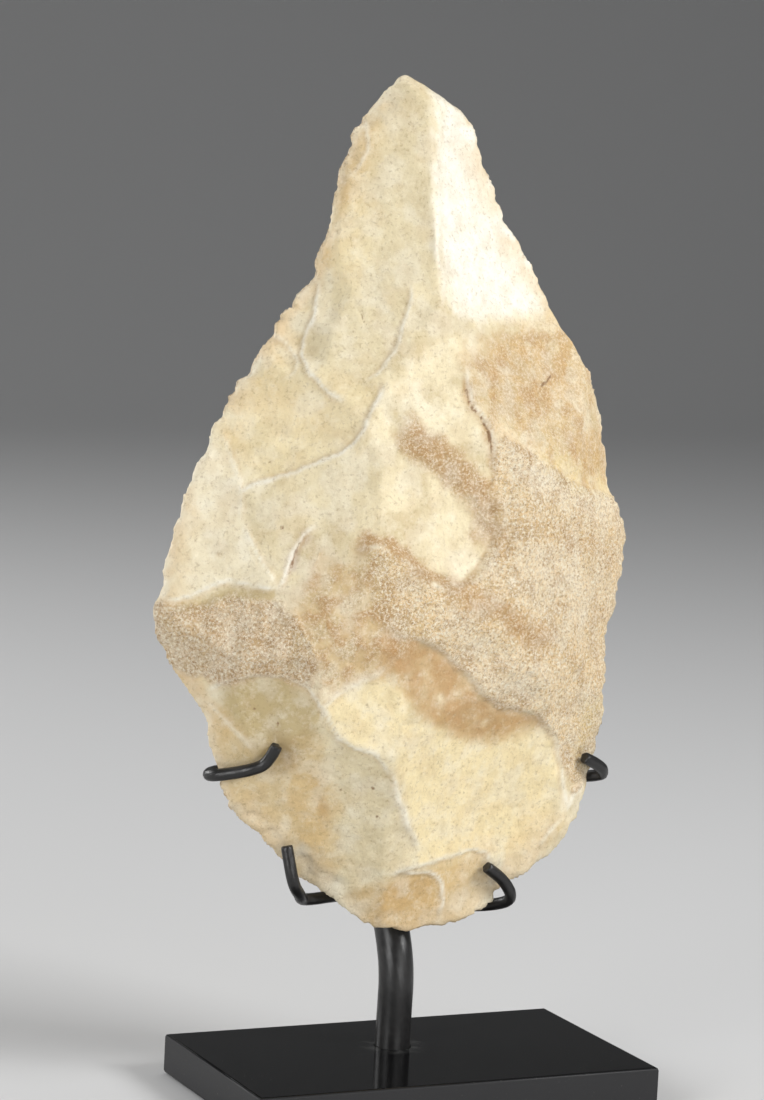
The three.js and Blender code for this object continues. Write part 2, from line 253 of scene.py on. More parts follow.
back_rind = clouds(-0.72, 6.0, 34.0, 7, 3) * (1 - in_front)
rind = np.maximum.reduce([*front_rinds, back_rind])
stained = patch(STAINED, STAIN_RIM, STAIN_RIM)
middle_ground = patch(MIDDLE_GROUND, STAIN_RIM, STAIN_RIM) * clouds(0.7, 1.2, 3.0, 1, 3)

# Steps where a scar ends: the ground on the left of each line stands up by a rise, over a width,
# and runs out over a reach. Each is a rise, a reach and a width in millimetres, and its line.
STEPS = [
    (0.45, 7, 0.4, [(1, 128), (0, 122), (-2.6, 115), (-5.3, 111.4), (-9.6, 108.3)]),
    (0.5, 6, 0.35, [
        (-3.8, 109), (-5.3, 106.7), (-8, 102), (-8.8, 99), (-11.2, 96.6), (-16.3, 93.8), (-21, 92),
        (-28.8, 89.5), (-34.2, 87.6), (-37, 86.5),
    ]),
    (0.5, 5, 0.4, [
        (-19.8, 129), (-19.8, 122), (-21.7, 117.3), (-23.3, 114), (-22.7, 111.8), (-17.4, 106),
        (-12, 103.5),
    ]),
    (0.3, 4, 0.5, [(-34.2, 80), (-34.2, 87.6), (-35, 90.3), (-36.6, 94.2), (-39.5, 99)]),
    (0.35, 4, 0.4, [(-26, 68), (-30, 74.7), (-33, 78.6), (-34.2, 82.5)]),
    (0.5, 5, 0.5, [(-52, 65), (-46, 66), (-39.3, 69.4), (-34.2, 69.2), (-25, 67.8)]),
    (0.5, 5, 0.4, [(-26.5, 66.5), (-26, 68), (-23.3, 75.5), (-20.5, 79.4), (-17.5, 80.5)]),
    (0.45, 4, 0.4, [
        (-42, 48), (-39.7, 49.6), (-34.2, 51.5), (-28.8, 52), (-23.3, 51.2), (-19.4, 49.2),
        (-17.4, 45.7), (-17, 42),
    ]),
    (0.3, 5, 0.4, [(-2.2, 54.3), (-10, 51.2), (-17.8, 46.5), (-20, 45)]),
    (0.4, 5, 0.4, [
        (-20, 48), (-17.4, 46.5), (-14.7, 41), (-13, 39), (-6, 37), (-3.8, 34), (-2.5, 31),
    ]),
    (0.4, 6, 0.5, [(-3.5, 34.5), (-2.2, 32.4), (-1.4, 28.5), (1.7, 20.7), (4, 15)]),
    (0.5, 4, 0.4, [(-4, 11.5), (-1.4, 12), (6.4, 11.7), (8.8, 9.8), (8.8, 4), (8, 1)]),
    (0.4, 4, 0.4, [(-2, 11.5), (0, 12.6), (8, 14), (18, 16), (20, 12), (21, 8)]),
    (0.4, 9, 0.4, [
        (-4, 59.5), (0, 59.4), (6.4, 58.2), (9.5, 55.8), (15, 50.4), (19.7, 45.3), (25.9, 44.5),
        (29.8, 43.3), (33, 38.7), (34.9, 33.2), (35.7, 26.9), (37, 22),
    ]),
    (0.4, 5, 0.5, [(12, 113), (12.3, 111.4), (12.7, 104.4), (17, 100.5), (18.5, 96.6), (18.5, 90)]),
    (0.9, 7, 1.2, [
        (18.5, 88), (20.3, 82), (20, 78), (17, 74), (14, 70), (9.5, 68.3), (5, 71), (1, 74.8),
        (-5, 78), (-11, 77.5),
    ]),
    (0.8, 9, 2.6, [(-4, 101), (0, 97.7), (9, 91.4), (15, 86), (17, 81)]),
    (0.7, 9, 1.8, [(6, 69), (10.3, 67.4), (20.5, 64.3), (24.4, 61.2), (32.2, 56.4), (36, 54)]),
    (0.25, 3, 0.4, [(-30, 37), (-36.6, 42.6), (-42.4, 48)]),
    (0.35, 3, 0.4, [(42.5, 30), (38.5, 27), (36.5, 24), (37.5, 21)]),
    (0.35, 3, 0.4, [(37, 22), (33.5, 20), (31, 17), (31, 14)]),
    (0.3, 3, 0.4, [(-13.5, 161), (-10, 159), (-9, 155), (-11, 150), (-14, 148)]),
    (0.3, 3, 0.4, [(-31, 118), (-26, 115.5), (-23, 111), (-27, 108)]),
]

# Fine raised lines along the ridges: rise, width and line.
RIDGES = [
    (0.22, 0.7, [(5.5, 164), (6, 150), (6.5, 140), (6, 132), (7.5, 130), (7.2, 122)]),
    (0.12, 0.6, [(-17.8, 46.5), (-10, 51.2), (-2.2, 54.3)]),
    (0.2, 0.6, [(-2.2, 33), (-1.4, 28.5), (1.7, 20.7), (4, 16)]),
]

# Cracks: fine dark lines that sink a little into the stone.
CRACKS = [
    [(-11.2, 125), (-10, 121), (-7.8, 116.4)],
    [(-20, 79.6), (-21.5, 78), (-23.3, 75.5), (-24.5, 71.5), (-26, 68)],
    [(31.8, 113), (31.4, 109.8), (29, 107), (27.5, 104)],
    [(12.3, 110), (12.7, 104.4), (17, 100.5), (18.5, 96.6), (18.5, 91.9)],
    [(22, 102.5), (24.5, 101), (26, 99.5)],
    [(1.5, 152.5), (4.5, 149.5), (6, 149)],
]

# Small pits and dark grains: place and radius.
PITS = [
    (-31.5, 45.3, 0.45), (-26.4, 42.6, 0.3), (-6, 30, 0.35), (-1.8, 16.8, 0.2), (-29, 92.6, 0.25),
    (-26, 80.5, 0.5), (-13, 29.5, 0.2), (-5, 24, 0.25),
]

# The skin swells and ripples everywhere, the rind stands a little proud of it and is lumpy, and
# the stained ground is about half as rough. Then come the steps, ridges, cracks and pits.
SKIN_LUMPS = [(0.34, 14.0, 2, 3), (0.12, 3.0, 1, 3), (0.04, 1.4, 6, 2)]
RIND_LUMPS = [(0.24, 0.9, 3, 2), (0.4, 4.5, 4, 3)]
STAIN_LUMPS = [(0.1, 1.2, 9, 2), (0.25, 3.5, 10, 3)]
RIND_RISE = 0.3
STEP_RAGGED = 0.25
RIM_WIDTH = 0.4
FOOT_WIDTH = 0.35
LINE_WIDTH = 0.5
CRACK_DEPTH = 0.2
CRACK_END = 0.8
PIT_DEPTH = 0.25
PIT_RIM = 1.6
PIT_FLOOR = 0.6
NO_CRACK = 9.0

relief = lumps(SKIN_LUMPS) + RIND_RISE * rind
relief += rind * lumps(RIND_LUMPS)
relief += (0.5 * middle_ground + 0.6 * stained) * lumps(STAIN_LUMPS)
# painted_rim_light: a painted highlight along the high rim of each step and along each ridge, laid on
# in white further down.
painted_rim_light = np.zeros(count)
# painted_foot_shade: painted shade along the low foot of each step, laid on in brown further down.
painted_foot_shade = np.zeros(count)
for rise, reach, width, line in STEPS:
    off, side, ends = beside(line)
    signed = off * side + STEP_RAGGED * ragged
    shown = rise * ends * in_front
    relief += shown * eased(0.5 + signed / (2 * width)) * np.exp(-off / reach)
    painted_rim_light = np.maximum(painted_rim_light, shown * bell(signed - width, RIM_WIDTH))
    painted_foot_shade = np.maximum(painted_foot_shade, shown * bell(signed + width / 2, FOOT_WIDTH))
for rise, width, line in RIDGES:
    off, _, ends = beside(line)
    shown = rise * ends * in_front
    relief += shown * bell(off, width)
    # Each ridge also gets a painted highlight along its line.
    painted_rim_light = np.maximum(painted_rim_light, 2 * shown * bell(off, LINE_WIDTH))
crack_off = np.full(count, NO_CRACK)
off_behind = NO_CRACK * (1 - in_front)
for line in CRACKS:
    off, _, ends = beside(line)
    relief -= CRACK_DEPTH * ends * bell(off, LINE_WIDTH) * in_front
    crack_off = np.minimum(crack_off, off + CRACK_END * (1 - ends) + off_behind)
for pit_across, pit_height, radius in PITS:
    off = np.hypot(drawn[:, 0] - pit_across, drawn[:, 1] - pit_height)
    relief -= PIT_DEPTH * eased(PIT_RIM - off / radius) * in_front
    crack_off = np.minimum(crack_off, np.maximum(off - PIT_FLOOR * radius, 0) + off_behind)

# The bands of rind that fall away to the scars are rough as sandstone: width and line.
BAND_LUMPS = [(0.35, 1.8, 5, 2)]
BAND_RISE = 0.1
BAND_SOFT = 1.3
BAND_RAGGED = 1.6
BANDS = [
    (6.5, [(-3, 100), (0, 98.5), (10.3, 92), (16, 87), (18.8, 81), (18.5, 76)]),
    (3.5, [(-11, 77), (-5, 78), (0, 75), (5, 71.5), (12, 68.5)]),
    (4.5, [(8, 69), (12, 67.5), (20, 65), (25, 61), (33, 57)]),
]
bands = np.zeros(count)
for width, line in BANDS:
    bands = np.maximum(bands, streak(line, width, BAND_SOFT, BAND_RAGGED))
relief += bands * (lumps(BAND_LUMPS) + BAND_RISE)
painted_rim_light *= 1 - bands
painted_foot_shade *= 1 - bands

# The edge is nibbled all round: bites move it inwards, between points that stand out a little.
# Each layer of bites is a depth and a size in millimetres, a seed and a detail.
BITES = [(0.8, 2.3, 21, 2), (0.9, 5.0, 22, 1)]
BITE_LIMITS = (-0.2, 1)
EDGE_WIDTH = 1.3
FLAT_NORMAL = 0.2
edge_near = bell(level, EDGE_WIDTH)
outward = normals - facing[:, None] * FORWARD
outward /= np.maximum(np.linalg.norm(outward, axis=1), FLAT_NORMAL)[:, None]
bites = sum(
    depth * np.clip(wavy(size, seed, detail), *BITE_LIMITS) for depth, size, seed, detail in BITES
)

# Where a wire or the post passes, nothing stands up into the air between it and the stone.
AIR_KEPT = 1.0
SUNK_MOST = 0.15
METAL = ("post", "wire_upper_left", "wire_upper_right", "wire_lower_left", "wire_lower_right")
metal_points = [vertex.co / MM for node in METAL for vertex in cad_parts[node].data.vertices]
metal = kdtree.KDTree(len(metal_points))
for index, point in enumerate(metal_points):
    metal.insert(point, index)
metal.balance()
air = np.array([metal.find(Vector(place))[2] for place in places])
relief = np.minimum(relief, np.maximum(air - AIR_KEPT, -SUNK_MOST))
places += normals * relief[:, None] - outward * (bites * edge_near)[:, None]
axe.data.vertices.foreach_set("co", (places * MM).ravel())
axe.data.update()

# Colours, from the ground colour up. Each area is a colour, how strong it is, how soft and how
# ragged its rim is, and its outline. Each line is the same with its width before its path.
CREAM = linear(232, 218, 182)
WHITE = linear(244, 240, 226)
IVORY = linear(240, 229, 200)
GREY_CREAM = linear(222, 208, 172)
OLIVE = linear(190, 170, 124)
AMBER = linear(216, 178, 112)
WARM = linear(242, 224, 178)
TAN = linear(210, 182, 132)
BROWN = linear(184, 140, 84)
UMBER = linear(130, 96, 60)
SAND = linear(238, 208, 158)
PINK_SAND = linear(240, 214, 174)
PALE_SAND = linear(250, 232, 198)
YELLOW = linear(232, 210, 156)
MAUVE = linear(176, 152, 132)

AREAS = [
    # Grey cream on the tip's left facet: painted shade on the facet turned away from the key light.
    (GREY_CREAM, 1.0, 2.0, 0.8, [
        (-2, 169), (5, 162), (6, 140), (6, 128), (0, 127), (-3, 115), (-10, 108), (-17, 106),
        (-23, 112), (-20, 128), (-15, 150), (-8, 162),
    ]),
    (WARM, 0.5, 4.0, 2.0, [(-20, 128), (-12, 148), (-6, 140), (-10, 124)]),
    (TAN, 0.5, 2.5, 2.0, [(-18, 140), (-14, 158), (-9, 152), (-13, 138)]),
    # White on the tip's right facet: painted light on the facet turned to the key light.
    (WHITE, 1.0, 2.5, 1.5, [
        (5.5, 166), (14, 162), (22, 145), (30, 131), (33, 124), (20, 121), (10, 122), (7, 130),
        (6, 140),
    ]),
    (GREY_CREAM, 0.5, 3.0, 2.0, [
        (-30, 115), (-24, 124), (-20, 118), (-17, 106), (-24, 105), (-34, 108),
    ]),
    (IVORY, 0.85, 1.2, 0.8, [
        (-44, 97), (-37, 94), (-34.5, 87), (-34, 82), (-30, 75), (-26, 68), (-34, 69.4), (-46, 66),
        (-54, 67),
    ]),
    (GREY_CREAM, 0.6, 4.0, 3.0, [
        (-34, 87), (-14, 95), (-7, 92), (-10, 83), (-14, 72), (-20, 60), (-26, 68), (-34, 80),
    ]),
    (MAUVE, 0.25, 3.0, 2.5, [
        (-25, 68), (-20, 79), (-13, 74), (-10, 64), (-12, 55), (-20, 52), (-22, 60),
    ]),
    # Olive in the hollow of the concave scar at the lower left: painted shade.
    (OLIVE, 0.9, 2.0, 0.8, [
        (-39, 50), (-29, 52), (-19, 49), (-17, 45), (-20, 36), (-29, 34), (-37, 43),
    ]),
    # Darker tan over the lower left: painted shade.
    (TAN, 0.6, 2.5, 2.0, [
        (-42, 48), (-30, 37), (-22, 40), (-14, 38), (-12, 14), (-30, 10), (-46, 40),
    ]),
    (WARM, 1.0, 1.5, 0.8, [
        (-1, 35), (0, 42), (20, 44), (33, 39), (36, 30), (30, 15), (18, 14), (4, 14),
    ]),
    (GREY_CREAM, 0.9, 1.2, 0.6, [
        (-15, 41), (-13, 39), (-6, 37), (-3, 34), (2, 20), (0, 12), (-14, 10), (-16, 25),
    ]),
    (WARM, 0.8, 1.5, 0.8, [(-17, 46), (-2, 54), (2, 50), (0, 40), (-6, 37), (-13, 39)]),
    (TAN, 1.0, 1.5, 0.8, [(-12, 8), (0, 12), (19, 15), (24, 8), (8, -2), (-8, -2)]),
    (BROWN, 0.35, 1.5, 1.0, [(-3, 11), (6.4, 11), (8, 8), (8, -2), (-8, -2)]),
    (SAND, 1.0, 1.2, 0.9, RIGHT_RIND),
    (PINK_SAND, 1.0, 1.0, 0.9, LEFT_RIND),
    (BROWN, 0.3, 2.0, 2.0, LEFT_RIND),
    (TAN, 0.45, 3.0, 3.0, STAINED),
    (TAN, 0.7, 3.0, 3.0, MIDDLE_GROUND),
    (TAN, 0.35, 3.0, 2.0, [(-30, 112), (-16, 104), (-12, 96), (-24, 99), (-34, 103)]),
    (WARM, 0.4, 2.0, 1.0, [
        (-9, 108), (-5, 107), (-9, 99), (-16, 94), (-29, 89.5), (-36, 94), (-42, 98), (-38, 108),
        (-24, 112),
    ]),
    # Painted shadow beside the tip of the upper left wire, in umber.
    (UMBER, 0.35, 2.0, 1.2, [(-28, 41), (-25, 42), (-21, 34), (-25, 33)]),
    (AMBER, 0.35, 2.0, 2.0, [(-24, 36), (-14, 31), (-13, 20), (-20, 15), (-24, 22)]),
    (AMBER, 0.4, 2.0, 1.5, [(-42, 47), (-37, 42), (-38, 30), (-43, 36)]),
    (PALE_SAND, 0.8, 2.5, 2.0, [(19, 101), (33, 92), (50, 87), (50, 80), (34, 84), (22, 90)]),
    (PALE_SAND, 0.6, 3.0, 2.0, [(8, 63), (20, 60), (30, 52), (34, 36), (28, 44), (20, 46), (10, 58)]),
    (PALE_SAND, 0.5, 3.0, 2.0, [(22, 80), (44, 72), (44, 60), (30, 62), (22, 68)]),
    (YELLOW, 0.9, 2.0, 1.5, [(28, 95), (46, 94), (50, 86), (36, 87)]),
    (BROWN, 0.6, 1.5, 1.8, [(32, 100), (44, 99), (46, 91), (38, 92)]),
    (BROWN, 0.4, 3.0, 3.0, [(14, 118), (30, 118), (40, 108), (30, 100), (19, 101), (15, 108)]),
    (BROWN, 0.3, 2.5, 2.0, [(-12, 62), (0, 60), (3, 56), (-4, 52), (-14, 56)]),
    (CREAM, 0.7, 2.0, 1.0, [(2, 76), (8, 71), (14, 71), (18, 76), (19, 82), (12, 86), (4, 84)]),
    (YELLOW, 0.7, 1.5, 1.0, [(40, 46), (46, 46), (46, 27), (40, 26), (38, 34)]),
]
LINES = [
    # The first three are the brown bands where the rind falls away to the scars: partly brown stain,
    # partly painted shade on their slopes, which face down and to the left.
    (BROWN, 0.85, 6.0, 1.5, 1.4, [(-3, 100), (0, 98.5), (10.3, 92), (16, 87), (18.5, 80), (18, 75)]),
    (BROWN, 0.85, 3.0, 1.2, 1.4, [(-12, 77), (-5, 78), (0, 75), (5, 71.5), (12, 68.0)]),
    (BROWN, 0.8, 4.5, 1.5, 1.4, [(7, 69), (12, 67.5), (20, 65), (25, 61), (33, 57)]),
    (UMBER, 0.35, 1.0, 0.8, 1.0, [(17, 74.5), (14.4, 70.4), (9.5, 68.3), (5, 70.6), (0, 75)]),
    (BROWN, 0.4, 4.0, 2.5, 2.0, [(20, 82), (32, 79), (41.6, 76.8), (50, 71)]),
    (MAUVE, 0.7, 1.8, 1.0, 1.0, [(-19, 80.5), (-21.5, 78.6), (-23.3, 75.5), (-26, 68)]),
    (OLIVE, 0.85, 1.8, 0.8, 0.6, [(-50, 63.8), (-45, 65), (-38.5, 67.4), (-32, 67.6), (-25, 67)]),
    (BROWN, 0.7, 1.4, 0.9, 0.8, [(12.3, 112), (12.7, 104.4), (17, 100.5), (18.5, 96.6), (18.8, 90)]),
    (UMBER, 0.5, 2.4, 1.6, 2.2, [(-14.5, 152), (-13.5, 147), (-15, 142)]),
    (BROWN, 0.5, 1.6, 1.0, 0.8, [(-19, 29), (-15, 22)]),
    (BROWN, 0.6, 3.5, 1.5, 1.5, [(-54, 66), (-53, 61), (-51, 56), (-46, 51), (-42, 47)]),
    (AMBER, 0.6, 2.5, 1.5, 1.0, [(-19, 138), (-18, 132), (-20.5, 126), (-25, 122), (-33, 112)]),
]
UNDER_RIND = [
    (-4, 61), (1, 59.4), (6.4, 58.2), (9.5, 55.8), (15, 50.4), (19.7, 45.3), (29, 43.8), (31, 41),
    (22, 38.5), (12, 39), (5, 43), (0, 49), (-4, 54),
]
EDGE_STAIN_WIDTH = 2.6
everywhere = np.ones(count)
behind = 1 - in_front

# Clouds of colour: a colour, its strength, where it is, and the clouds' cover, contrast, size,
# seed and detail. The first lie under all areas and lines, and the others over them.
FIRST_CLOUDS = [(OLIVE, 0.5, everywhere, 0.3, 1.8, 8.0, 31, 5)]
BACK_CLOUDS = [(WARM, 0.6, behind, 0.2, 2.0, 26.0, 8, 3)]
LAST_CLOUDS = [
    (WHITE, 0.25, everywhere, 0.2, 1.8, 5.0, 32, 5),
    # Brown under the right rind's lower edge: partly brown stain, partly painted shade below that
    # step.
    (BROWN, 0.85, patch(UNDER_RIND, 2.2, 0.8), 0.95, 0.6, 4.0, 38, 4),
    (BROWN, 0.75, stained, 0.15, 1.8, 5.0, 33, 5),
    (AMBER, 0.4, stained, 0.4, 1.8, 3.0, 37, 4),
    (BROWN, 0.85, middle_ground, 0.5, 1.8, 3.0, 34, 5),
    (BROWN, 0.35, (rind + 0.3) * in_front, 0.0, 2.0, 5.0, 35, 5),
    (AMBER, 0.6, bell(level, EDGE_STAIN_WIDTH), 0.6, 1.5, 8.0, 36, 3),
]
FOOT_SHADE = 0.5
RIM_SHINE = 1.6
RIM_SHINE_MOST = 0.6
EDGE_SHINE = 0.3
tone = np.tile(np.array(CREAM), (count, 1))


def tint(colour, share):
    """Lays a colour over the stone where its share is."""
    tone[:] += (np.array(colour) - tone) * share[:, None]


def tint_clouds(layers):
    for colour, strength, where, *cloud in layers:
        tint(colour, strength * where * clouds(*cloud))


tint_clouds(FIRST_CLOUDS)
for colour, strength, soft, ragged_by, outline in AREAS:
    tint(colour, strength * patch(outline, soft, ragged_by))
for colour, strength, width, soft, ragged_by, path in LINES:
    tint(colour, strength * streak(path, width, soft, ragged_by))
tint_clouds(BACK_CLOUDS)
tint(SAND, back_rind)
tint_clouds(LAST_CLOUDS)
# Painted shade: brown along the low foot of each step.
tint(BROWN, FOOT_SHADE * np.clip(painted_foot_shade, 0, 1))
# Painted highlight: white along the rims of the steps and the ridges, weaker on the rind.
tint(WHITE, RIM_SHINE * np.clip(painted_rim_light, 0, RIM_SHINE_MOST) * (1 - 0.7 * rind))
# Painted highlight: white along the thin edge all round.
tint(WHITE, EDGE_SHINE * edge_near)

# How grainy the skin is: fully on the rind, and less on its bands and on the stained ground.
grainy = np.maximum.reduce([
    rind * (1 - 0.35 * bands), 0.65 * bands, 0.6 * middle_ground, 0.45 * stained,
])
for name, values in (("rind", grainy), ("crack_off", crack_off)):
    axe.data.attributes.new(name, "FLOAT", "POINT").data.foreach_set("value", values)
shade = axe.data.attributes.new("tone", "FLOAT_COLOR", "POINT")
shade.data.foreach_set("color", np.hstack([np.clip(tone, 0, 1), np.ones((count, 1))]).ravel())
smooth_faces(axe)


class Nodes:
    """Adds the nodes of one material and links them in a line of code each."""

    # The sockets of a mix node that mixes colours.
    SHARE, UNDER, OVER, MIXED = 0, 6, 7, 2

    def __init__(self, name):
        self.material = bpy.data.materials.new(name)
        self.material.use_nodes = True
        self.tree = self.material.node_tree
        self.tree.nodes.clear()
        self.shader = self.add("ShaderNodeBsdfPrincipled")
        output = self.add("ShaderNodeOutputMaterial")
        self.link(self.shader, "BSDF", output, "Surface")
        self.place = self.add("ShaderNodeTexCoord")

    def add(self, kind, **settings):
        node = self.tree.nodes.new(kind)
        for key, value in settings.items():
            setattr(node, key, value)
        return node

    def link(self, start, out, end, into):
        self.tree.links.new(start.outputs[out], end.inputs[into])

    def noise(self, scale, detail, roughness):
        node = self.add("ShaderNodeTexNoise")
        node.inputs["Scale"].default_value = scale
        node.inputs["Detail"].default_value = detail
        node.inputs["Roughness"].default_value = roughness
        self.link(self.place, "Object", node, "Vector")
        return node

    def spread(self, start, out, low, high, to_low, to_high):
        node = self.add("ShaderNodeMapRange")
        node.inputs["From Min"].default_value = low
        node.inputs["From Max"].default_value = high
        node.inputs["To Min"].default_value = to_low
        node.inputs["To Max"].default_value = to_high
        self.link(start, out, node, "Value")
        return node

    def attribute(self, name):
        return self.add("ShaderNodeAttribute", attribute_name=name)

    def math(self, operation, first, first_out, second, second_out):
        node = self.add("ShaderNodeMath", operation=operation)
        self.link(first, first_out, node, 0)
        self.link(second, second_out, node, 1)
        return node

    def tinted(self, under, out, colour, share, share_out):
        """Lays a colour over the one that comes out of a node, where its share is."""
        node = self.add("ShaderNodeMix", data_type="RGBA")
        self.link(under, out, node, self.UNDER)
        node.inputs[self.OVER].default_value = (*colour, 1)
        self.link(share, share_out, node, self.SHARE)
        return node

    def between(self, under, over, share, share_out):
        """A colour between two, nearer to the second the higher its share is."""
        node = self.add("ShaderNodeMix", data_type="RGBA")
        node.inputs[self.UNDER].default_value = (*under, 1)
        node.inputs[self.OVER].default_value = (*over, 1)
        self.link(share, share_out, node, self.SHARE)
        return node

    def flecked(self, under, out, fleck, where=None):
        """Lays flecks of a colour over the one below, all over or only where an attribute is."""
        colour, scale, detail, roughness, begin, full, most = fleck
        grain = self.noise(scale, detail, roughness)
        share, share_out = self.spread(grain, "Fac", begin, full, 0.0, most), "Result"
        if where:
            share, share_out = self.math("MULTIPLY", share, share_out, where, "Fac"), "Value"
        return self.tinted(under, out, colour, share, share_out)

    def bumped(self, source, out, distance, after=None):
        node = self.add("ShaderNodeBump")
        node.inputs["Distance"].default_value = distance
        node.inputs["Strength"].default_value = 1.0
        self.link(source, out, node, "Height")
        if after:
            self.link(after, "Normal", node, "Normal")
        return node


# Flecks of the flint, from the ground up: a colour, the scale, detail and roughness of its noise,
# the noise at which the flecks begin and are full, and their strength. The grains are rind only.
GRAIN = (1500.0, 5.0, 0.85)
DARK_CLOUDS = (linear(190, 168, 124), 260.0, 8.0, 0.75, 0.44, 0.72, 0.45)
PALE_BLOOM = (linear(250, 243, 222), 420.0, 8.0, 0.75, 0.5, 0.75, 0.45)
FRECKLES = (linear(150, 122, 78), 1300.0, 4.0, 0.7, 0.54, 0.72, 0.5)
DARK_GRAINS = (linear(166, 126, 80), *GRAIN, 0.49, 0.6, 0.8)
LIGHT_GRAINS = (linear(252, 243, 222), 1900.0, 5.0, 0.85, 0.48, 0.6, 0.9)
CRACK_BROWN = linear(130, 92, 54)
CRACK_SIDE = (0.1, 0.36)
FLAKED_ROUGHNESS = 0.44
RIND_ROUGHNESS = 0.9


def flint():
    n = Nodes("flint")
    rind_here = n.attribute("rind")
    clouded = n.flecked(n.attribute("tone"), "Color", DARK_CLOUDS)
    bloomed = n.flecked(clouded, n.MIXED, PALE_BLOOM)
    freckled = n.flecked(bloomed, n.MIXED, FRECKLES)
    grained = n.flecked(freckled, n.MIXED, DARK_GRAINS, rind_here)
    speckled = n.flecked(grained, n.MIXED, LIGHT_GRAINS, rind_here)
    wobble = n.spread(n.noise(900.0, 2.0, 0.5), "Fac", 0.3, 0.7, -0.15, 0.2)
    crack_at = n.math("ADD", n.attribute("crack_off"), "Fac", wobble, "Result")
    crack_share = n.spread(crack_at, "Value", *CRACK_SIDE, 0.8, 0.0)
    cracked = n.tinted(speckled, n.MIXED, CRACK_BROWN, crack_share, "Result")
    n.link(cracked, n.MIXED, n.shader, "Base Color")
    gloss = n.spread(rind_here, "Fac", 0.0, 1.0, FLAKED_ROUGHNESS, RIND_ROUGHNESS)
    n.link(gloss, "Result", n.shader, "Roughness")
    n.shader.inputs["Specular IOR Level"].default_value = 0.4
    soft_bump = n.bumped(n.noise(500.0, 6.0, 0.65), "Fac", 0.00035)
    rind_fine = n.math("MULTIPLY", n.noise(*GRAIN), "Fac", rind_here, "Fac")
    grain_bump = n.bumped(rind_fine, "Value", 0.0004, soft_bump)
    n.link(grain_bump, "Normal", n.shader, "Normal")
    return n.material


axe.data.materials.append(flint())
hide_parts("hand_axe")
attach(axe, "root")


# The base plate.
# A cut block of black acrylic with finely broken edges. Its top is polished, its sides are only
# smoothed and coloured a lighter grey, which is painted sheen, and the hole in its top takes the
# post.
POST_FOOT = (-0.002, 0.0045, 0.008)
RUBBED_BETWEEN = (0.0036, 0.0075)
# The sides' colour is lighter than the top's black: painted sheen.
SIDE_GREY_PAINTED_SHEEN = linear(52, 52, 53)
TOP_BLACK = linear(10, 10, 11)
RUBBED_GREY = linear(120, 120, 118)
DUST = (linear(120, 118, 112), 2600.0, 2.0, 0.5, 0.69, 0.74, 0.4)
SIDE_ROUGHNESS = 0.4
TOP_ROUGHNESS = 0.1
FLAT_WITHIN = math.radians(1)
SHARP_FROM = math.radians(60)


def glossy_black():
    n = Nodes("polished_black")
    way = n.add("ShaderNodeNewGeometry")
    parts = n.add("ShaderNodeSeparateXYZ")
    n.link(way, "Normal", parts, "Vector")
    on_top = n.spread(parts, "Z", 0.6, 0.95, 0.0, 1.0)
    body = n.between(SIDE_GREY_PAINTED_SHEEN, TOP_BLACK, on_top, "Result")
    from_post = n.add("ShaderNodeVectorMath", operation="DISTANCE")
    n.link(n.place, "Object", from_post, 0)
    from_post.inputs[1].default_value = POST_FOOT
    near_post = n.spread(from_post, "Value", *RUBBED_BETWEEN, 0.5, 0.0)
    rubbed = n.spread(n.noise(420.0, 5.0, 0.7), "Fac", 0.45, 0.75, 0.0, 1.0)
    rub_share = n.math("MULTIPLY", near_post, "Result", rubbed, "Result")
    worn = n.tinted(body, n.MIXED, RUBBED_GREY, rub_share, "Value")
    dusty = n.flecked(worn, n.MIXED, DUST)
    n.link(dusty, n.MIXED, n.shader, "Base Color")
    gloss = n.spread(on_top, "Result", 0.0, 1.0, SIDE_ROUGHNESS, TOP_ROUGHNESS)
    n.link(gloss, "Result", n.shader, "Roughness")
    n.shader.inputs["Specular IOR Level"].default_value = 0.12
    return n.material


base = merged_copy("base", "base_plate")
form = bmesh.new()
form.from_mesh(base.data)
bmesh.ops.dissolve_limit(form, angle_limit=FLAT_WITHIN, verts=form.verts, edges=form.edges)
form.to_mesh(base.data)
form.free()
base.data.materials.append(glossy_black())
smooth_faces(base)
base.data.set_sharp_from_angle(angle=SHARP_FROM)
base.modifiers.new("flat_faces", "WEIGHTED_NORMAL").keep_sharp = True
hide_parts("base")
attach(base, "root")


# The post and the four wires.
# Mild steel bar and wire, bent cold and sprayed satin black. The wires end in rounded tips and
# are brazed to the sides of the post behind the stone, each in a small bead.
POST_ACROSS = -2.0
BEAD_OFF = 4.55
BEAD_HALF = Vector((0.95, 1.9, 1.9))
START_CORNERS = 40
# What smoothing takes off the faceted bars, which is given back to them first.
POST_LOSS = 0.09
WIRE_LOSS = 0.077


def satin_black():
    n = Nodes("satin_black")
    mottle = n.noise(900.0, 3.0, 0.6)
    sprayed = n.between(linear(18, 18, 19), linear(38, 37, 36), mottle, "Fac")
    n.link(sprayed, n.MIXED, n.shader, "Base Color")
    gloss = n.spread(mottle, "Fac", 0.3, 0.8, 0.3, 0.45)
    n.link(gloss, "Result", n.shader, "Roughness")
    bump = n.bumped(mottle, "Fac", 0.00003)
    n.link(bump, "Normal", n.shader, "Normal")
    return n.material


